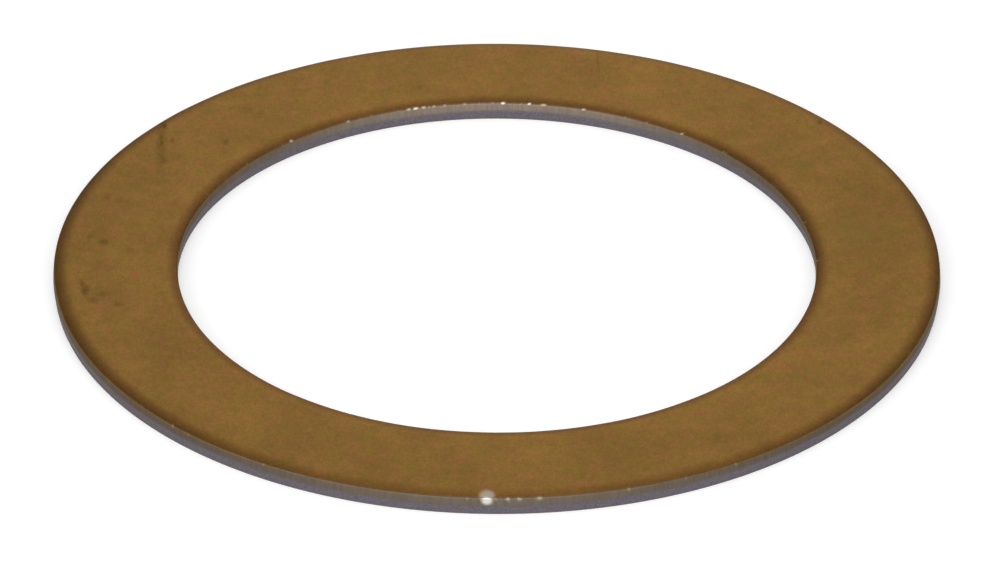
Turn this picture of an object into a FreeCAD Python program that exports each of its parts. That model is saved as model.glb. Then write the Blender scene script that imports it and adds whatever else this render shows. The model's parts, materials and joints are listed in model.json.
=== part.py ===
# Shim ring: a thin flat ring punched in one piece from tempered spring steel strip.
#
# It slips over a shaft or into a housing bore and takes up axial play. The ring lies flat, with
# the centre of its bore, at the level of its lower face, at the origin. The bore's axis is Z.
#
# Punching leaves each wall with four zones, one below the other: a rounded die roll where the
# tool drew the face down, a smooth burnished land, a sloping fracture, and the small edge break
# that tumbling leaves where the burr was. The bore and the rim are cut in one stroke of a compound
# die, so both have their die roll at the upper face.

import FreeCAD
import Part

import math
import os

# Driving dimensions, in millimetres
BORE_DIAMETER = 32.2       # runs clear on a 32 mm shaft
RING_WIDTH = 6.3           # from the bore to the rim, which then runs clear in a 45 mm housing
THICKNESS = 1.0            # between the two flat faces

# Zones of a punched wall, in millimetres
DIE_ROLL_WIDTH = 0.80      # how far from the wall the face begins to bend
DIE_ROLL_DEPTH = 0.15      # how far along the wall the bend ends
LAND_HEIGHT = 0.35         # length of the smooth land along the wall
FRACTURE_SETBACK = 0.045   # how far the fracture slopes back into the metal
EDGE_BREAK = 0.03          # leg of the bevel where the burr was

# Sizes and levels that follow from the driving dimensions
OUTER_DIAMETER = BORE_DIAMETER + 2 * RING_WIDTH
BORE_RADIUS = BORE_DIAMETER / 2
RIM_RADIUS = OUTER_DIAMETER / 2
LOWER_FACE = 0.0
UPPER_FACE = LOWER_FACE + THICKNESS

AXIS_POINT = FreeCAD.Vector(0, 0, LOWER_FACE)
AXIS = FreeCAD.Vector(0, 0, 1)
FULL_TURN = 360            # in degrees
RIGHT_ANGLE = math.pi / 2  # in radians


def line(start, end):
    """A straight edge of the section."""
    return Part.LineSegment(start, end).toShape()


def wall_place(radius, into_metal):
    """Places points of a wall by their depth in the metal and their way down from the upper face.

    into_metal is 1 where the metal lies outside the radius, as at the bore, and -1 at the rim.
    """
    def place(depth, down):
        return FreeCAD.Vector(radius + into_metal * depth, 0, UPPER_FACE - down)
    return place


def arc(place, depth, down, radius, start, end):
    """An arc about a centre, from one angle to another: 0 is at the upper face, 90 at the wall."""
    points = [
        place(depth - radius * math.sin(angle), down - radius * math.cos(angle))
        for angle in (start, (start + end) / 2, end)
    ]
    return Part.Arc(*points).toShape()


def die_roll(place):
    """The bend from the upper face to the land: a wide arc, then a tight one, all tangent."""
    tight = DIE_ROLL_DEPTH / 2
    run = DIE_ROLL_WIDTH - tight
    drop = DIE_ROLL_DEPTH - tight
    turn = 2 * math.atan2(drop, run)
    wide = tight + run / math.sin(turn)
    return [
        arc(place, DIE_ROLL_WIDTH, wide, wide, 0, turn),
        arc(place, tight, DIE_ROLL_DEPTH, tight, turn, RIGHT_ANGLE),
    ]


def punched_wall(place):
    """The edges of one wall, from the upper face down to the lower one."""
    land_start = place(0, DIE_ROLL_DEPTH)
    land_end = place(0, DIE_ROLL_DEPTH + LAND_HEIGHT)
    fracture_end = place(FRACTURE_SETBACK, THICKNESS - EDGE_BREAK)
    break_end = place(FRACTURE_SETBACK + EDGE_BREAK, THICKNESS)
    return [
        *die_roll(place),
        line(land_start, land_end),
        line(land_end, fracture_end),
        line(fracture_end, break_end),
    ]


def ends(wall):
    """Where a wall's section meets the upper face, and where it meets the lower one."""
    return wall[0].firstVertex(True).Point, wall[-1].lastVertex(True).Point


def section():
    """The ring's section: the rim's wall, the lower face, the bore's wall and the upper face."""
    rim = punched_wall(wall_place(RIM_RADIUS, -1))
    bore = punched_wall(wall_place(BORE_RADIUS, 1))
    rim_top, rim_bottom = ends(rim)
    bore_top, bore_bottom = ends(bore)
    edges = [*rim, line(rim_bottom, bore_bottom), *reversed(bore), line(bore_top, rim_top)]
    return Part.Face(Part.Wire(edges))


def shim_ring():
    """The whole ring, turned from its section about the axis of the bore."""
    return section().revolve(AXIS_POINT, AXIS, FULL_TURN)


os.makedirs("parts", exist_ok=True)
shim_ring().exportStep("parts/shim_ring.step")
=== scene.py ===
"""Dresses a punched shim ring of tempered spring steel and lights it on a white table.

The ring is one piece. Its section is drawn once, with the four zones that punching leaves on each
wall, and is spun about the axis of the bore. The walls are then worked over point by point: the
smooth land ends in a wavy line, the metal below it is torn, and small nicks along the rounded
upper edges show bright metal, made brighter as painted glints.
"""

import json
import math
import random
from typing import NamedTuple

import bmesh
import bpy
from bpy.props import FloatProperty, FloatVectorProperty, IntProperty, PointerProperty
from mathutils import Matrix, Vector, noise


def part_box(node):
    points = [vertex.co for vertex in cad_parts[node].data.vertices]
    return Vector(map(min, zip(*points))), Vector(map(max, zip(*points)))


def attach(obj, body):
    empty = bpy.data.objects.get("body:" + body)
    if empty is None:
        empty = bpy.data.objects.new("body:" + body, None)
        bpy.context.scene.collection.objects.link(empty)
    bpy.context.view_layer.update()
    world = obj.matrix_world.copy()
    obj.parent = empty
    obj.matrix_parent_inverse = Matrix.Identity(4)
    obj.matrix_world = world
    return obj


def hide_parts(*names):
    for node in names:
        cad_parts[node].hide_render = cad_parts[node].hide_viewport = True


bl_info = {
    "name": "Shim Ring",
    "version": (1, 0, 0),
    "blender": (4, 5, 0),
    "location": "View3D > Sidebar > Shim Ring",
    "description": "Punched spring steel shim ring with temper colour on its faces",
    "category": "Add Mesh",
}

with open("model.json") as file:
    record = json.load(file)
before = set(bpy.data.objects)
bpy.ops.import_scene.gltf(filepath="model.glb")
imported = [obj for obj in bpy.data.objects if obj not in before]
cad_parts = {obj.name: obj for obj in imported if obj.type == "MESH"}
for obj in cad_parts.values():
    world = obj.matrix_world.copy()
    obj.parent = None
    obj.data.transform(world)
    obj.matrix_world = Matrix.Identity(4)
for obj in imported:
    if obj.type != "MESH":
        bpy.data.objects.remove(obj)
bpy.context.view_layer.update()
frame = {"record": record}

MM = 0.001
FULL_TURN = 2 * math.pi
QUARTER_TURN = math.pi / 2
UP = Vector((0, 0, 1))

# What the frame says of the ring
NODE = "shim_ring"
BODY = "root"
MOUNTS = {mount["name"]: mount for mount in frame["record"]["mounts"]}
BORE_MOUNT = MOUNTS["bore"]
RIM_RADIUS = MOUNTS["rim"]["dims"]["r_mm"] * MM
BORE_RADIUS = BORE_MOUNT["dims"]["r_mm"] * MM
LAND_HEIGHT = BORE_MOUNT["dims"]["length_mm"] * MM
LOWER_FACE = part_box(NODE)[0].z
UPPER_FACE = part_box(NODE)[1].z
THICKNESS = UPPER_FACE - LOWER_FACE
DIE_ROLL_DEPTH = UPPER_FACE - BORE_MOUNT["pos_m"][2] - LAND_HEIGHT / 2
LAND_END = DIE_ROLL_DEPTH + LAND_HEIGHT

# How the mesh is made
LAYERS = ("bare", "torn", "polished", "scorched", "bright")  # what metal each point shows, and where the land's painted highlight and the edges' painted shade fall
SECTORS = 20                    # like parts of the ring: one is spun, and the others are copied
SHARP_ANGLE = math.radians(28)  # edges that bend further stay sharp
SAME_PLACE = 0.001 * MM         # points closer than this are one

# How the walls vary round the ring
LONG_WAVE = 2.4 * MM
SHORT_WAVE = 0.45 * MM
LONG_SHARE = 0.8                # of the long wave in the line where the land ends
SHORT_SHARE = 0.5               # of the short wave in it
FRAY = 0.03 * MM                # how far a wave moves the line where bare metal starts
EDGE_OXIDE_SHADE = 0.2               # where the darkness of the oxide and its painted shade starts on the edge itself
OXIDE_SHADE_START = 0.15 * MM        # way in from the edge over which it grows
PIT_SIZE = 0.17 * MM
PIT_SQUASH = 1.6                # pits are wider than they are high
PIT_NOISE = (0.8, 2.0, 3)       # roughness, spacing and number of the octaves
NICK_REACH = 0.8 * MM           # more than half the length of any nick
NICK_START = 0.1 * MM           # way down over which a nick's relief begins
NICK_FALLOFF = 1.5              # how fast a nick fades towards its rim
GLEAM_GAIN = 1.3                # how far bright metal fills a nick


def srgb(red, green, blue):
    """A colour as Blender's shaders take it, from the three numbers that a picture shows."""
    def linear(value):
        part = value / 255
        return part / 12.92 if part <= 0.04045 else ((part + 0.055) / 1.055) ** 2.4
    return (linear(red), linear(green), linear(blue))


def length(name, description, default):
    """A length that a user can change."""
    return FloatProperty(
        name=name, description=description, default=default, min=0, precision=6,
        subtype="DISTANCE", unit="LENGTH",
    )


def colour(name, description, default):
    """A colour that a user can change."""
    return FloatVectorProperty(
        name=name, description=description, default=default, min=0, max=1, subtype="COLOR",
    )


def angle(name, description, degrees):
    """An angle that a user can change."""
    return FloatProperty(
        name=name, description=description, default=math.radians(degrees),
        subtype="ANGLE", unit="ROTATION",
    )


def share(name, description, default, high=1.0):
    """A plain number that a user can change."""
    return FloatProperty(
        name=name, description=description, default=default, min=0, max=high, subtype="FACTOR",
    )


class RingSizes(bpy.types.PropertyGroup):
    """Sizes of the punched walls, apart from those that the frame gives."""

    die_roll_width: length("Die roll width", "How far in from the wall a face bends", 0.80 * MM)
    fracture_setback: length("Fracture setback", "How far the torn metal slopes back", 0.045 * MM)
    edge_break: length("Edge break", "Leg of the bevel where the burr was", 0.03 * MM)
    margin: length("Margin", "Strip of face beside a bend that keeps the face flat", 0.05 * MM)
    land_lean: length("Land lean", "How far back the top of the land leans", 0.03 * MM)
    # painted shade: the oxide along the edges is darkened further where the die roll bends away from
    # the light
    oxide_shade_width: length("Scorch width", "How far from the wall the oxide is darker", 0.80 * MM)
    land_wave: length("Land wave", "How far the end of the smooth land strays", 0.045 * MM)
    roll_wave: length("Roll wave", "How far the die roll's depth strays", 0.018 * MM)
    # painted highlight: where the wall faces the front light, bare metal starts higher over the
    # edge, and lower away from it
    lit_edge_reach: length("Wear start", "How far back over the edge most wear reaches", 0.06 * MM)
    unlit_edge_drop: length("Wear span", "How much lower bare metal starts where wear is least", 0.09 * MM)
    fade: length("Fade", "Way over which the temper colour fades to bare metal", 0.18 * MM)
    land_fade: length("Land fade", "Way over which the land's shine fades to torn metal", 0.26 * MM)
    tear_step: length("Tear step", "Step down from the land to the torn metal", 0.006 * MM)
    tear_depth: length("Tear depth", "Depth of the pits in the torn metal", 0.022 * MM)
    turn_steps: IntProperty(
        name="Turn steps", description="Steps of the spin that makes the ring", default=1400, min=3,
    )


class RingFinish(bpy.types.PropertyGroup):
    """Colours and gloss of the ring's surfaces."""

    temper: colour("Temper colour", "Straw to brown oxide on the faces", srgb(132, 98, 48))
    olive: colour("Olive cast", "Where the oxide is thinner", srgb(128, 101, 42))
    russet: colour("Russet cast", "Where the oxide is thicker", srgb(140, 96, 53))
    # partly a redder oxide along the edges, partly painted shade where the die roll bends away from
    # the light
    scorched: colour("Scorched edge", "Oxide along the edges, which ran hotter", srgb(104, 68, 33))
    land: colour("Land", "Burnished metal below the die roll", srgb(99, 88, 74))
    # painted highlight: the land as it looks where it faces the front light
    polished: colour("Polished land", "Land that is rubbed bright", srgb(140, 127, 114))
    torn: colour("Torn metal", "Torn metal near the lower face", srgb(112, 107, 114))
    # fresh metal in the nicks, painted brighter and tinted like glints
    bright: colour("Bright metal", "Fresh metal in the nicks", srgb(243, 240, 231))
    yellow_bright: colour("Yellow metal", "Nicks that a thin oxide tints", srgb(252, 240, 200))
    edge_tint: colour("Edge tint", "What metal reflects at a glancing angle", (0.75, 0.70, 0.62))
    # also used for a broad painted shade over the right end of the face
    dark_stain_and_shade: colour("Dark stain", "Darkest marks on the upper face", srgb(88, 62, 20))
    olive_stain: colour("Olive stain", "Greenish marks on the upper face", srgb(112, 96, 44))
    russet_stain: colour("Russet stain", "Reddish marks on the upper face", srgb(150, 94, 56))
    face_gloss: share("Face roughness", "Roughness of the tempered faces", 0.36)
    land_gloss: share("Land roughness", "Roughness of the burnished land", 0.60)
    torn_gloss: share("Torn roughness", "Roughness of the torn metal", 0.60)
    nick_gloss: share("Nick roughness", "Roughness of fresh metal in the nicks", 0.22)


class StageSettings(bpy.types.PropertyGroup):
    """Table, lamps and camera."""

    elevation: angle("Elevation", "Camera's height above the horizon", 31.0)
    roll: angle("Roll", "Camera's turn about its own line of sight", 0.2)
    distance: length("Distance", "From the camera to the ring", 0.672)
    lens: FloatProperty(
        name="Lens", description="Focal length on a sensor 36 mm wide", default=479, min=1,
        subtype="DISTANCE_CAMERA",
    )
    aim_right: length("Aim right", "How far right of the bore's centre the camera aims", 0.16 * MM)
    aim_near: length("Aim near", "How far in front of the bore's centre the camera aims", 0.54 * MM)
    table_size: length("Table size", "Half the width of the table", 3.0)
    room: share("Room", "Light that comes evenly from all round", 0.33)
    backdrop: share("Backdrop", "Brightness of the panel behind the ring", 1.0, 10.0)
    top: share("Top", "Brightness of the panel above and behind the ring", 1.15, 10.0)
    overhead: share("Overhead", "Brightness of the panel straight above the ring", 0.75, 10.0)
    front: share("Front", "Brightness of the wide panel in front", 2.1, 10.0)
    sides: share("Sides", "Brightness of the panels at both sides", 0.75, 10.0)
    table_white: share("Table white", "How much light the table gives back", 0.8)
    table_glow: share("Table glow", "White that the table shows beside its own light", 0.34)


class Wall(NamedTuple):
    """One punched wall, seen as depth into the metal and the way down from the upper face."""

    radius: float
    into_metal: int      # 1 where the metal lies outside the radius, -1 where it lies inside
    light_side: float     # where the wall faces the front light and its painted highlight is strongest, in degrees from +X
    light_focus: float    # how narrow that stretch is; a greater number is narrower
    land_light: float        # how bright the land's painted highlight is, from 0 to 1
    oxide_shade_strength: float        # how dark the oxide and its painted shade are along the upper edge, from 0 to 1

    def place(self, depth, down):
        """A point of the ring's section."""
        return Vector((self.radius + self.into_metal * depth, 0, UPPER_FACE - down))

    def local(self, point):
        """Depth and way down of a point anywhere round the ring."""
        return (point.to_2d().length - self.radius) * self.into_metal, UPPER_FACE - point.z

    def sheen(self, turn):
        """How far the wall faces the front light at a place round the ring, from 0 to 1; the painted
        highlight follows it.
        """
        return (0.5 + 0.5 * math.cos(turn - math.radians(self.light_side))) ** self.light_focus

    def moved(self, point, depth, down):
        """A point at the same place round the ring, with a new depth and way down."""
        outward = point.to_2d().normalized() * (self.radius + self.into_metal * depth)
        return Vector((outward.x, outward.y, UPPER_FACE - down))


# each wall's land is painted lighter, and its bare edge reaches higher, where it faces the front
# light; its edge oxide is darkened by painted shade
RIM = Wall(RIM_RADIUS, into_metal=-1, light_side=270, light_focus=14, land_light=0.34, oxide_shade_strength=0.68)
BORE = Wall(BORE_RADIUS, into_metal=1, light_side=90, light_focus=8, land_light=1.0, oxide_shade_strength=1.0)


class Nick(NamedTuple):
    """A dent or a raised crumb on a wall, where bright metal shows as a painted glint, or a patch of
    painted highlight beside one.
    """

    turn: float          # place round the ring, in degrees from +X
    half_length: float   # along the wall, in millimetres
    rise: float          # out of the wall, in millimetres; less than 0 is a dent
    past_edge: float     # way over the edge and down the wall, in millimetres
    half_height: float   # in millimetres
    gleam: float         # how much bright metal, painted as a glint, it shows


def bore_nick(turn, half_length, rise, gleam):
    """A nick on the rounded upper edge of the bore."""
    return Nick(turn, half_length, rise, past_edge=0.05, half_height=0.09, gleam=gleam)


def rim_nick(turn, half_length, rise, gleam):
    """A nick on the rounded upper edge of the rim."""
    return Nick(turn, half_length, rise, past_edge=0.12, half_height=0.16, gleam=gleam)


# Nicks that the photo shows, at the back of the bore and the front of the rim
BORE_NICKS = [
    bore_nick(89.0, 0.13, 0.016, 1.0),
    bore_nick(84.2, 0.10, 0.014, 0.9),
    bore_nick(81.6, 0.20, 0.010, 0.45),
    bore_nick(106.4, 0.14, 0.010, 0.5),
    bore_nick(105.1, 0.18, 0.012, 0.8),
    bore_nick(103.6, 0.14, 0.010, 0.5),
    bore_nick(101.7, 0.10, 0.010, 0.3),
    bore_nick(99.7, 0.10, 0.010, 0.3),
    bore_nick(96.0, 0.10, 0.010, 0.25),
    bore_nick(74.1, 0.14, 0.010, 0.45),
    bore_nick(118.3, 0.12, 0.010, 0.4),
    bore_nick(130.8, 0.14, 0.010, 0.6),
    bore_nick(54.2, 0.12, 0.010, 0.5),
]
RIM_NICKS = [
    Nick(268.85, 0.36, -0.020, 0.20, 0.32, 0.70),  # a bright dent
    Nick(268.85, 0.54, 0.0, -0.20, 0.68, 0.28),    # painted highlight: a faint bright patch above the dent, where its glint spreads
    rim_nick(271.5, 0.14, -0.010, 0.25),
    rim_nick(272.9, 0.14, -0.010, 0.22),
    rim_nick(275.5, 0.20, -0.010, 0.22),
]


class Stain(NamedTuple):
    """A mark on the upper face; one of them is a broad painted shade."""

    x: float             # millimetres from the axis
    y: float
    half_width: float    # across the grain, in millimetres
    half_length: float   # along the grain
    turn: float          # in degrees
    strength: float


DARK_STAINS_AND_SHADE = [
    Stain(-17.22, 12.30, 0.22, 2.40, 1, 0.42),
    Stain(-17.08, 10.08, 0.18, 0.34, 0, 0.50),
    Stain(-17.12, 13.62, 0.14, 0.34, 0, 0.94),
    Stain(-17.25, 12.40, 0.11, 0.70, 2, 0.69),
    Stain(-17.20, 11.90, 0.12, 0.34, 0, 0.75),
    Stain(-17.18, 10.40, 0.10, 0.90, 0, 0.44),
    Stain(-16.68, 12.15, 0.11, 0.26, 0, 0.50),
    Stain(-13.93, 12.02, 0.13, 0.26, 0, 0.47),
    Stain(-19.93, 1.95, 0.20, 0.34, 0, 0.62),
    Stain(-20.62, 2.50, 0.20, 0.26, 0, 0.31),
    Stain(-18.52, 1.15, 0.18, 0.28, 0, 0.35),
    Stain(-20.86, -2.20, 0.15, 0.36, 10, 0.62),
    Stain(-20.72, -2.88, 0.19, 0.44, 0, 0.78),
    Stain(-20.28, -3.80, 0.20, 0.30, 40, 0.47),
    Stain(-19.82, -3.17, 0.20, 0.30, -35, 0.43),
    Stain(-19.05, -4.15, 0.22, 0.24, 0, 0.38),
    Stain(16.58, 14.22, 0.09, 0.20, 0, 0.94),
    Stain(5.20, 20.20, 0.06, 1.00, 1, 0.40),
    Stain(-19.85, 6.45, 0.16, 0.40, 0, 0.38),
    Stain(-8.81, 18.13, 0.12, 0.28, 0, 0.33),
    Stain(-4.00, 17.55, 0.12, 0.26, 0, 0.28),
    # painted shade: a broad, faint darkening over the right end of the face
    Stain(19.60, 4.00, 3.20, 7.00, 0, 0.16),
    Stain(10.90, -16.80, 0.14, 0.30, 0, 0.25),
]
OLIVE_STAINS = [
    Stain(15.75, 9.90, 0.45, 0.34, 0, 0.75),
    Stain(17.90, 3.38, 1.10, 1.60, 0, 0.44),
    Stain(-14.90, 15.05, 0.34, 0.24, 0, 0.69),
    Stain(-19.30, 7.30, 0.30, 0.30, 0, 0.56),
]
RUSSET_STAINS = [
    Stain(-18.18, -1.30, 0.22, 0.34, 0, 0.88),
    Stain(-20.00, -4.60, 0.26, 0.30, 0, 0.62),
    Stain(-17.70, 9.40, 0.22, 0.40, 0, 0.56),
    Stain(-16.40, 14.30, 0.22, 0.30, 0, 0.56),
]


def smooth_step(value):
    """0 up to 0, 1 from 1 on, and a smooth way between."""
    held = min(max(value, 0.0), 1.0)
    return held * held * (3 - 2 * held)


FACE_CUTS = 3  # of the section's two long straight stretches


class Corner(NamedTuple):
    """A corner of a wall's section."""

    place: Vector
    cuts: int = 0        # of the stretch that follows it
    rounding: int = 0    # segments of the arc that rounds it


def wall_corners(wall, sizes):
    """Corners of a wall's section, downwards: two arcs, land, fracture and edge break."""
    tight = DIE_ROLL_DEPTH / 2
    run = sizes.die_roll_width - tight
    turn = 2 * math.atan2(tight, run)
    tight_corner = DIE_ROLL_DEPTH - tight * math.tan((QUARTER_TURN - turn) / 2)
    broken = sizes.fracture_setback + sizes.edge_break
    return [
        Corner(wall.place(sizes.die_roll_width + sizes.margin, 0)),
        Corner(wall.place(sizes.die_roll_width, 0)),
        Corner(wall.place(sizes.die_roll_width - tight / math.sin(turn), 0), rounding=6),
        Corner(wall.place(tight - tight * math.sin(turn), DIE_ROLL_DEPTH - tight * math.cos(turn))),
        Corner(wall.place(0, tight_corner), rounding=7),
        Corner(wall.place(0, DIE_ROLL_DEPTH), cuts=3),
        Corner(wall.place(0, LAND_END), cuts=9),
        Corner(wall.place(sizes.fracture_setback, THICKNESS - sizes.edge_break), cuts=1),
        Corner(wall.place(broken, THICKNESS)),
        Corner(wall.place(broken + sizes.margin, THICKNESS)),
    ]


def draw_section(bm, sizes):
    """Draws the ring's section: both walls, and the two faces between them."""
    ends, stretches, roundings = [], [], []
    for corners in (wall_corners(RIM, sizes), wall_corners(BORE, sizes)):
        verts = [bm.verts.new(corner.place) for corner in corners]
        edges = [bm.edges.new(pair) for pair in zip(verts, verts[1:])]
        for vert, edge, corner in zip(verts, edges, corners):
            if corner.cuts:
                stretches.append((edge, corner.cuts))
            if corner.rounding:
                roundings.append((vert, corner.rounding))
        ends.append((verts[0], verts[-1]))
    for pair in zip(*ends):
        stretches.append((bm.edges.new(pair), FACE_CUTS))
    for vert, segments in roundings:
        bmesh.ops.bevel(
            bm, geom=[vert], offset=100, offset_type="PERCENT", affect="VERTICES",
            segments=segments, profile=0.5, material=-1,
        )
    for edge, cuts in stretches:
        bmesh.ops.subdivide_edges(bm, edges=[edge], cuts=cuts)
    bmesh.ops.remove_doubles(bm, verts=bm.verts, dist=SAME_PLACE / 10)


def spin_section(bm, sizes):
    """Spins the section through one sector, copies the sector round the bore and joins them all."""
    sector = FULL_TURN / SECTORS
    bmesh.ops.spin(
        bm, geom=bm.verts[:] + bm.edges[:], cent=(0, 0, 0), axis=UP, angle=sector,
        steps=sizes.turn_steps // SECTORS,
    )
    bmesh.ops.spin(
        bm, geom=bm.verts[:] + bm.edges[:] + bm.faces[:], cent=(0, 0, 0), axis=UP,
        angle=FULL_TURN - sector, steps=SECTORS - 1, use_duplicate=True,
    )
    bmesh.ops.remove_doubles(bm, verts=bm.verts, dist=SAME_PLACE)
    bmesh.ops.recalc_face_normals(bm, faces=bm.faces)


def scattered(make, count, lengths, rises, gleams, seed):
    """Nicks at random places round the ring, the same ones on each run."""
    draw = random.Random(seed)
    spans = ((0, 360), lengths, rises, gleams)
    return [make(*(draw.uniform(*span) for span in spans)) for _ in range(count)]


def nick_shape(nick, turn, past_edge, radius):
    """How strongly a nick acts at a place on its wall, from 0 to 1."""
    away = math.remainder(turn - math.radians(nick.turn), FULL_TURN) * radius
    along = away / (nick.half_length * MM)
    across = (past_edge - nick.past_edge * MM) / (nick.half_height * MM)
    return max(0.0, 1 - along * along - across * across) ** NICK_FALLOFF


def near(nicks, turn, radius):
    """The nicks that reach a place round the ring."""
    def away(nick):
        return abs(math.remainder(turn - math.radians(nick.turn), FULL_TURN)) * radius
    return [nick for nick in nicks if away(nick) < NICK_REACH]


def oxide_shade_at(depth, sizes):
    """How dark the edge oxide and its painted shade are: most where the face bends down, and less on
    the edge itself.
    """
    fading = smooth_step(1 - depth / sizes.oxide_shade_width)
    return fading * smooth_step(EDGE_OXIDE_SHADE + depth / OXIDE_SHADE_START)


def tent(value, start, peak, end):
    """1 at the peak, and evenly less down to 0 at the start and at the end."""
    if value < peak:
        return max(0.0, (value - start) / (peak - start))
    return max(0.0, (end - value) / (end - peak))


def work_wall(bm, wall, nicks, sizes, layers):
    """Moves a wall's points as punching leaves them, and notes what metal each one shows, with its
    painted highlight and shade.
    """
    wall_end = THICKNESS - sizes.edge_break
    close_by = {}
    for vert in bm.verts:
        depth, down = wall.local(vert.co)
        if depth > sizes.die_roll_width + sizes.margin / 2 or down > THICKNESS - SAME_PLACE:
            continue
        turn = math.atan2(vert.co.y, vert.co.x)
        ring_place = Vector((math.cos(turn), math.sin(turn), 0)) * wall.radius
        long_wave = noise.noise(ring_place / LONG_WAVE)
        short_wave = noise.noise(ring_place / SHORT_WAVE)
        past_edge = down - depth if down < LAND_END else down
        torn = smooth_step(0.5 + (down - LAND_END) / sizes.land_fade)
        # painted highlight: where the wall faces the front light, the land is painted lighter and
        # bare metal starts higher over the edge
        facing_light = wall.sheen(turn)
        bare_start = sizes.unlit_edge_drop * (1 - facing_light) - sizes.lit_edge_reach
        fray = FRAY * (long_wave + short_wave)
        bare = smooth_step((past_edge - bare_start + fray) / sizes.fade)

        # the die roll's depth and the end of the land stray round the ring
        by_roll = tent(down, 0, DIE_ROLL_DEPTH, wall_end)
        by_land_end = tent(down, DIE_ROLL_DEPTH, LAND_END, wall_end)
        land_stray = LONG_SHARE * long_wave + SHORT_SHARE * short_wave
        new_down = down + sizes.roll_wave * long_wave * by_roll
        new_down += sizes.land_wave * land_stray * by_land_end

        # the land leans back towards the die roll, and torn metal is pitted
        new_depth = depth
        if down < LAND_END:
            lean = ((LAND_END - down) / LAND_HEIGHT) ** 2 * (1 - depth / sizes.die_roll_width)
            new_depth += sizes.land_lean * max(0.0, lean)
        if down > LAND_END + SAME_PLACE:
            grain = Vector((ring_place.x, ring_place.y, down * PIT_SQUASH)) / PIT_SIZE
            pits = 0.5 + 0.5 * noise.fractal(grain, *PIT_NOISE)
            new_depth += sizes.tear_step + sizes.tear_depth * pits

        # points one above the other share their list of nicks
        key = round(turn * 1000)
        if key not in close_by:
            close_by[key] = near(nicks, turn, wall.radius)
        gleam = 0.0
        for nick in close_by[key]:
            acting = nick_shape(nick, turn, past_edge, wall.radius)
            new_depth -= nick.rise * MM * acting * smooth_step(down / NICK_START)
            gleam = max(gleam, smooth_step(GLEAM_GAIN * acting) * nick.gleam)

        vert.co = wall.moved(vert.co, max(new_depth, 0.0), new_down)
        vert[layers["bare"]] = bare
        # painted highlight on the land where it faces the front light
        vert[layers["polished"]] = wall.land_light * facing_light
        vert[layers["torn"]] = torn
        # redder oxide along the edge, darkened further by painted shade
        vert[layers["scorched"]] = wall.oxide_shade_strength * oxide_shade_at(depth, sizes)
        vert[layers["bright"]] = gleam


def mark_edges(bm):
    """Shades the ring smoothly, apart from the edges that punching left sharp."""
    for face in bm.faces:
        face.smooth = True
    for edge in bm.edges:
        edge.smooth = edge.calc_face_angle(0) < SHARP_ANGLE


def make_ring(sizes):
    """The ring's mesh, as an object of its own."""
    bm = bmesh.new()
    draw_section(bm, sizes)
    spin_section(bm, sizes)
    layers = {name: bm.verts.layers.float.new(name) for name in LAYERS}
    faint_bore_nicks = scattered(
        bore_nick, count=90, lengths=(0.03, 0.09), rises=(-0.008, 0.004), gleams=(0.0, 0.2), seed=3,
    )
    faint_rim_nicks = scattered(
        rim_nick, count=40, lengths=(0.03, 0.09), rises=(-0.008, 0.0), gleams=(0.0, 0.15), seed=5,
    )
    work_wall(bm, BORE, BORE_NICKS + faint_bore_nicks, sizes, layers)
    work_wall(bm, RIM, RIM_NICKS + faint_rim_nicks, sizes, layers)
    mark_edges(bm)
    mesh = bpy.data.meshes.new("tempered_ring")
    bm.to_mesh(mesh)
    bm.free()
    ring = bpy.data.objects.new("tempered_ring", mesh)
    bpy.context.scene.collection.objects.link(ring)
    return ring


MIX_A, MIX_B, MIX_RESULT = 6, 7, 2  # the colour sockets of a Mix node
NARROW, WIDE = 0.2, 0.25            # how far from its middle a grain counts

# How the ring's finish varies
ALONG_GRAIN = (1, 0.06, 1)          # squeezes Y, so that a grain runs along it
UPRIGHT = (1, 1, 0.08)              # squeezes Z, so that a grain runs up and down
TEMPER_SHARE = 0.3                  # of the plain temper colour over its two casts
STAIN_FRAY = 0.35                   # how far the edge of a mark strays, in half sizes of the mark
STAIN_EDGE = (1.8, 0.1)             # where it starts to show, and where it shows fully
HALF_WAY_SPAN = 0.1 * MM            # half the height over which the upper half begins
GLOSS_SWING = 0.04
FACE_RELIEF = 0.15                  # of the face's grain, beside that of the walls
RELIEF_DEPTH = 0.006 * MM
RELIEF_STRENGTH = 0.6


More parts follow.
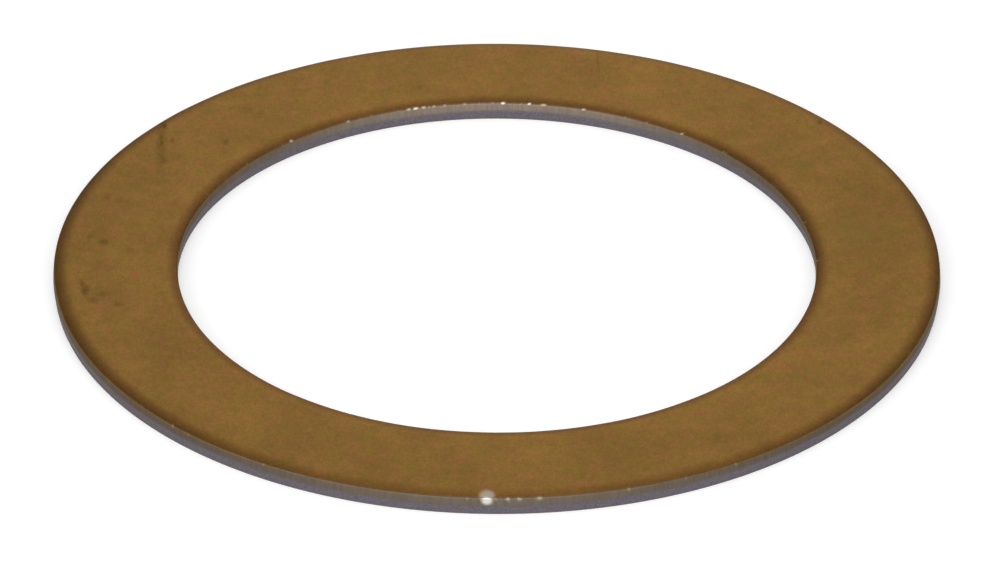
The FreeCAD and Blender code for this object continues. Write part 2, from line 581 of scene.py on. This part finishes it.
class Wiring:
    """Adds nodes to a tree and joins them, so that a finish reads as a run of steps."""

    def __init__(self, tree):
        self.tree = tree

    def feed(self, socket, value):
        """Links a socket, or sets its plain value."""
        if isinstance(value, bpy.types.NodeSocket):
            self.tree.links.new(value, socket)
        else:
            socket.default_value = value

    def node(self, kind, inputs, **settings):
        """A new node with its settings and its inputs fed."""
        made = self.tree.nodes.new(kind)
        for name, value in settings.items():
            setattr(made, name, value)
        for key, value in inputs.items():
            self.feed(made.inputs[key], value)
        return made

    def calculate(self, operation, first, second):
        """What a Math node makes of two numbers."""
        return self.node("ShaderNodeMath", {0: first, 1: second}, operation=operation).outputs[0]

    def span(self, value, low, high, to_low=0.0, to_high=1.0):
        """A number taken smoothly from one span to another."""
        inputs = {
            "Value": value, "From Min": low, "From Max": high,
            "To Min": to_low, "To Max": to_high,
        }
        return self.node("ShaderNodeMapRange", inputs, interpolation_type="SMOOTHSTEP").outputs[0]

    def spread(self, grain, reach, to_low=0.0, to_high=1.0):
        """A grain drawn out, so that what lies within reach of its middle fills a span."""
        return self.span(grain, 0.5 - reach, 0.5 + reach, to_low, to_high)

    def blend(self, factor, first, second):
        """One colour laid over another."""
        inputs = {0: factor, MIX_A: opaque(first), MIX_B: opaque(second)}
        return self.node("ShaderNodeMix", inputs, data_type="RGBA").outputs[MIX_RESULT]

    def between(self, factor, first, second):
        """A number between two others."""
        inputs = {0: factor, 2: first, 3: second}
        return self.node("ShaderNodeMix", inputs, data_type="FLOAT").outputs[0]

    def scaled(self, tint, amount):
        """A colour made brighter or darker by a number."""
        inputs = {0: tint, "Scale": amount}
        return self.node("ShaderNodeVectorMath", inputs, operation="SCALE").outputs[0]

    def grain(self, vector, size, detail=2.0, roughness=0.5):
        """Noise from 0 to 1 whose features have a size in millimetres."""
        inputs = {
            "Vector": vector, "Scale": 1 / (size * MM), "Detail": detail, "Roughness": roughness,
        }
        return self.node("ShaderNodeTexNoise", inputs).outputs["Fac"]

    def wavering(self, grain, reach, swing):
        """A number that follows a grain up and down from 1, by as much as a swing."""
        return self.spread(grain, reach, 1 - swing, 1 + swing)

    def stretched(self, vector, factors):
        """A place with each of its axes scaled."""
        return self.node("ShaderNodeMapping", {"Vector": vector, "Scale": factors}).outputs[0]

    def attribute(self, name):
        """A number that the mesh holds at each point."""
        return self.node("ShaderNodeAttribute", {}, attribute_name=name).outputs["Fac"]


def opaque(value):
    """A colour with its alpha, or a socket as it is."""
    return value if isinstance(value, bpy.types.NodeSocket) else (*value[:3], 1.0)


def stain_mask(wiring, place, stain, fray):
    """How strongly one mark shows, with a frayed edge."""
    inputs = {
        "Vector": place,
        "Location": (stain.x * MM, stain.y * MM, 0),
        "Rotation": (0, 0, math.radians(stain.turn)),
        "Scale": (stain.half_width * MM, stain.half_length * MM, 1),
    }
    local = wiring.node("ShaderNodeMapping", inputs, vector_type="TEXTURE").outputs[0]
    away = wiring.node("ShaderNodeVectorMath", {0: local}, operation="LENGTH").outputs["Value"]
    return wiring.span(wiring.calculate("ADD", away, fray), *STAIN_EDGE, 0.0, stain.strength)


def stain_masks(wiring, place, stains, fray, upper):
    """The strongest of several marks at each place of the upper half."""
    found = 0.0
    for stain in stains:
        found = wiring.calculate("MAXIMUM", stain_mask(wiring, place, stain, fray), found)
    return wiring.calculate("MULTIPLY", found, upper)


def upper_half(wiring, place):
    """1 in the upper half of the ring's thickness, and 0 in the lower."""
    height = wiring.node("ShaderNodeSeparateXYZ", {0: place}).outputs["Z"]
    middle = LOWER_FACE + THICKNESS / 2
    return wiring.span(height, middle - HALF_WAY_SPAN, middle + HALF_WAY_SPAN)


def face_colour(wiring, place, along_grain, scorched, finish):
    """The tempered face: oxide of uneven thickness, rolling grain and the marks of handling, with a
    redder oxide and painted shade along the edges and a broad painted shade over its right end.
    """
    cast = wiring.spread(wiring.grain(place, size=0.75, detail=4, roughness=0.6), NARROW)
    tint = wiring.blend(cast, finish.olive, finish.russet)
    tint = wiring.blend(TEMPER_SHARE, tint, finish.temper)
    # a redder oxide along the edges, darkened further by painted shade
    tint = wiring.blend(scorched, tint, finish.scorched)
    clouds = wiring.grain(place, size=5.0)
    mottle = wiring.grain(place, size=1.8, detail=4, roughness=0.9)
    streaks = wiring.grain(along_grain, size=0.05)
    speckle = wiring.grain(place, size=0.12)
    tint = wiring.scaled(tint, wiring.wavering(clouds, NARROW, swing=0.06))
    tint = wiring.scaled(tint, wiring.wavering(mottle, NARROW, swing=0.10))
    tint = wiring.scaled(tint, wiring.wavering(streaks, WIDE, swing=0.05))
    tint = wiring.scaled(tint, wiring.wavering(speckle, WIDE, swing=0.12))
    fray = wiring.spread(wiring.grain(place, size=0.16), WIDE, -STAIN_FRAY, STAIN_FRAY)
    upper = upper_half(wiring, place)
    # the dark marks include a broad painted shade over the right end of the face
    for stains, stained in (
        (DARK_STAINS_AND_SHADE, finish.dark_stain_and_shade),
        (OLIVE_STAINS, finish.olive_stain),
        (RUSSET_STAINS, finish.russet_stain),
    ):
        tint = wiring.blend(stain_masks(wiring, place, stains, fray, upper), tint, stained)
    return tint


def wall_colour(wiring, place, upright, torn, polished, finish):
    """The bare wall: warm and streaked by the tools on the land, painted lighter where it faces the
    front light, and cool and grainy where torn.
    """
    streaks = wiring.grain(upright, size=0.13, detail=3)
    crystals = wiring.grain(place, size=0.09, detail=3, roughness=0.6)
    # painted highlight: the land is lighter where it faces the front light
    tint = wiring.blend(torn, wiring.blend(polished, finish.land, finish.polished), finish.torn)
    return wiring.scaled(tint, wiring.between(
        torn, wiring.wavering(streaks, NARROW, swing=0.09),
        wiring.wavering(crystals, NARROW, swing=0.20),
    ))


def ring_material(finish):
    """Tempered faces, bare punched walls and bright nicks, in one material."""
    material = bpy.data.materials.new("tempered spring steel")
    material.use_nodes = True
    wiring = Wiring(material.node_tree)
    shader = material.node_tree.nodes["Principled BSDF"]
    place = wiring.node("ShaderNodeTexCoord", {}).outputs["Object"]
    along_grain = wiring.stretched(place, ALONG_GRAIN)
    upright = wiring.stretched(place, UPRIGHT)
    bare, torn, polished, scorched, bright = (wiring.attribute(name) for name in LAYERS)

    face = face_colour(wiring, place, along_grain, scorched, finish)
    wall = wall_colour(wiring, place, upright, torn, polished, finish)
    hue = wiring.spread(wiring.grain(place, size=1.2, detail=1), NARROW / 2)
    # bright metal in the nicks, painted brighter and tinted like glints
    glinting = wiring.blend(hue, finish.bright, finish.yellow_bright)
    tint = wiring.blend(bright, wiring.blend(bare, face, wall), glinting)

    face_bump = wiring.grain(along_grain, size=0.04)
    land_bump = wiring.grain(upright, size=0.06)
    torn_bump = wiring.grain(place, size=0.05, detail=3)
    low_gloss, high_gloss = finish.face_gloss - GLOSS_SWING, finish.face_gloss + GLOSS_SWING
    face_gloss = wiring.spread(face_bump, WIDE, low_gloss, high_gloss)
    wall_gloss = wiring.between(torn, finish.land_gloss, finish.torn_gloss)
    gloss = wiring.between(bright, wiring.between(bare, face_gloss, wall_gloss), finish.nick_gloss)
    relief = wiring.between(
        bare, wiring.calculate("MULTIPLY", face_bump, FACE_RELIEF),
        wiring.between(torn, land_bump, torn_bump),
    )
    inputs = {"Height": relief, "Distance": RELIEF_DEPTH, "Strength": RELIEF_STRENGTH}
    bump = wiring.node("ShaderNodeBump", inputs)
    wiring.feed(shader.inputs["Base Color"], tint)
    wiring.feed(shader.inputs["Roughness"], gloss)
    wiring.feed(shader.inputs["Normal"], bump.outputs[0])
    shader.inputs["Metallic"].default_value = 1.0
    shader.inputs["Specular Tint"].default_value = opaque(finish.edge_tint)
    return material


TABLE_ROUGHNESS = 0.9
TABLE_GAP = 0.01 * MM    # keeps the table clear of the ring's lower face
PANEL_DISTANCE = 1.0     # from the middle of the ring, in metres


def table_material(settings):
    """A white table that keeps the ring's shadow."""
    material = bpy.data.materials.new("white table")
    material.use_nodes = True
    wiring = Wiring(material.node_tree)
    nodes = material.node_tree.nodes
    shader = nodes["Principled BSDF"]
    shader.inputs["Base Color"].default_value = opaque([settings.table_white] * 3)
    shader.inputs["Roughness"].default_value = TABLE_ROUGHNESS
    rays = wiring.node("ShaderNodeLightPath", {}).outputs
    seen = wiring.calculate("MAXIMUM", rays["Is Camera Ray"], rays["Is Glossy Ray"])
    seen = wiring.calculate("MAXIMUM", seen, rays["Is Transmission Ray"])
    strength = wiring.calculate("MULTIPLY", seen, settings.table_glow)
    glow = wiring.node("ShaderNodeEmission", {"Strength": strength})
    both = wiring.node("ShaderNodeAddShader", {0: shader.outputs[0], 1: glow.outputs[0]})
    wiring.feed(nodes["Material Output"].inputs["Surface"], both.outputs[0])
    return material


def make_table(settings):
    """The flat table under the ring."""
    bm = bmesh.new()
    bmesh.ops.create_grid(bm, x_segments=1, y_segments=1, size=settings.table_size)
    bmesh.ops.translate(bm, verts=bm.verts, vec=(0, 0, LOWER_FACE - TABLE_GAP))
    mesh = bpy.data.meshes.new("table")
    bm.to_mesh(mesh)
    bm.free()
    table = bpy.data.objects.new("table", mesh)
    bpy.context.scene.collection.objects.link(table)
    table.data.materials.append(table_material(settings))


def from_centre(azimuth, elevation, distance):
    """A place seen from the ring: azimuth 0 is in front of it and 90 at its right."""
    around, above = math.radians(azimuth), math.radians(elevation)
    level = math.cos(above)
    return Vector((math.sin(around) * level, -math.cos(around) * level, math.sin(above))) * distance


class Panel(NamedTuple):
    """A soft panel that faces the ring, and the setting that gives its brightness."""

    name: str
    setting: str
    azimuth: float       # in degrees
    elevation: float     # in degrees
    width: float         # in metres
    height: float


PANELS = (
    Panel("back panel", "backdrop", 178, 22, 0.34, 0.56),
    Panel("top panel", "top", 179, 57, 0.32, 0.44),
    Panel("overhead panel", "overhead", 0, 88, 0.7, 0.6),
    Panel("front panel", "front", -8, 36, 2.6, 0.8),
    Panel("left panel", "sides", -90, 22, 0.9, 0.6),
    Panel("right panel", "sides", 90, 22, 0.9, 0.6),
)


def add_panel(panel, brightness):
    """One of the soft panels. The camera doesn't see it."""
    light = bpy.data.lights.new(panel.name, "AREA")
    light.shape = "RECTANGLE"
    light.size, light.size_y = panel.width, panel.height
    light.energy = brightness * math.pi * panel.width * panel.height
    lamp = bpy.data.objects.new(panel.name, light)
    lamp.location = from_centre(panel.azimuth, panel.elevation, PANEL_DISTANCE)
    lamp.rotation_euler = lamp.location.to_track_quat("Z", "Y").to_euler()
    lamp.visible_camera = False
    bpy.context.scene.collection.objects.link(lamp)


def light_room(settings):
    """A pale room, with soft panels on all sides of the ring and above it."""
    world = bpy.data.worlds.new("pale room")
    world.use_nodes = True
    sky = world.node_tree.nodes["Background"]
    sky.inputs["Color"].default_value = (1, 1, 1, 1)
    sky.inputs["Strength"].default_value = settings.room
    bpy.context.scene.world = world
    for panel in PANELS:
        add_panel(panel, getattr(settings, panel.setting))


def add_camera(settings):
    """The camera, in front of the ring and looking down on it."""
    data = bpy.data.cameras.new("camera")
    data.lens = settings.lens
    camera = bpy.data.objects.new("camera", data)
    aim = Vector((settings.aim_right, -settings.aim_near, LOWER_FACE))
    back = from_centre(0, math.degrees(settings.elevation), settings.distance)
    upright = back.to_track_quat("Z", "Y").to_matrix().to_4x4()
    rolled = upright @ Matrix.Rotation(settings.roll, 4, "Z")
    camera.matrix_world = Matrix.Translation(aim + back) @ rolled
    bpy.context.scene.collection.objects.link(camera)
    bpy.context.scene.camera = camera


class SHIM_OT_ring(bpy.types.Operator):
    """Punch the shim ring and give it its temper colour"""

    bl_idname = "shim.ring"
    bl_label = "Shim Ring"

    def execute(self, context):
        ring = make_ring(context.scene.shim_sizes)
        ring.data.materials.append(ring_material(context.scene.shim_finish))
        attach(ring, BODY)
        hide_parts(NODE)
        return {"FINISHED"}


class SHIM_OT_stage(bpy.types.Operator):
    """Lay a white table, light it softly and set up the camera"""

    bl_idname = "shim.stage"
    bl_label = "Table, Lamps and Camera"

    def execute(self, context):
        settings = context.scene.shim_stage
        make_table(settings)
        light_room(settings)
        add_camera(settings)
        context.scene.view_settings.view_transform = "Standard"
        return {"FINISHED"}


class SHIM_PT_panel(bpy.types.Panel):
    """Lists the steps that make the ring and its stage"""

    bl_label = "Shim Ring"
    bl_idname = "SHIM_PT_panel"
    bl_space_type = "VIEW_3D"
    bl_region_type = "UI"
    bl_category = "Shim Ring"

    def draw(self, context):
        scene = context.scene
        groups = (
            (scene.shim_sizes, SHIM_OT_ring), (scene.shim_finish, None),
            (scene.shim_stage, SHIM_OT_stage),
        )
        for settings, operator in groups:
            box = self.layout.box()
            for name in settings.__annotations__:
                box.prop(settings, name)
            if operator:
                box.operator(operator.bl_idname)


CLASSES = (RingSizes, RingFinish, StageSettings, SHIM_OT_ring, SHIM_OT_stage, SHIM_PT_panel)


def register():
    """Registers the classes and hangs their settings on the scene."""
    for cls in CLASSES:
        bpy.utils.register_class(cls)
    bpy.types.Scene.shim_sizes = PointerProperty(type=RingSizes)
    bpy.types.Scene.shim_finish = PointerProperty(type=RingFinish)
    bpy.types.Scene.shim_stage = PointerProperty(type=StageSettings)


def unregister():
    """Takes the settings and the classes away again."""
    del bpy.types.Scene.shim_stage
    del bpy.types.Scene.shim_finish
    del bpy.types.Scene.shim_sizes
    for cls in reversed(CLASSES):
        bpy.utils.unregister_class(cls)


def main():
    """Makes the ring and its stage."""
    register()
    bpy.ops.shim.ring()
    bpy.ops.shim.stage()


if __name__ == "__main__":
    main()
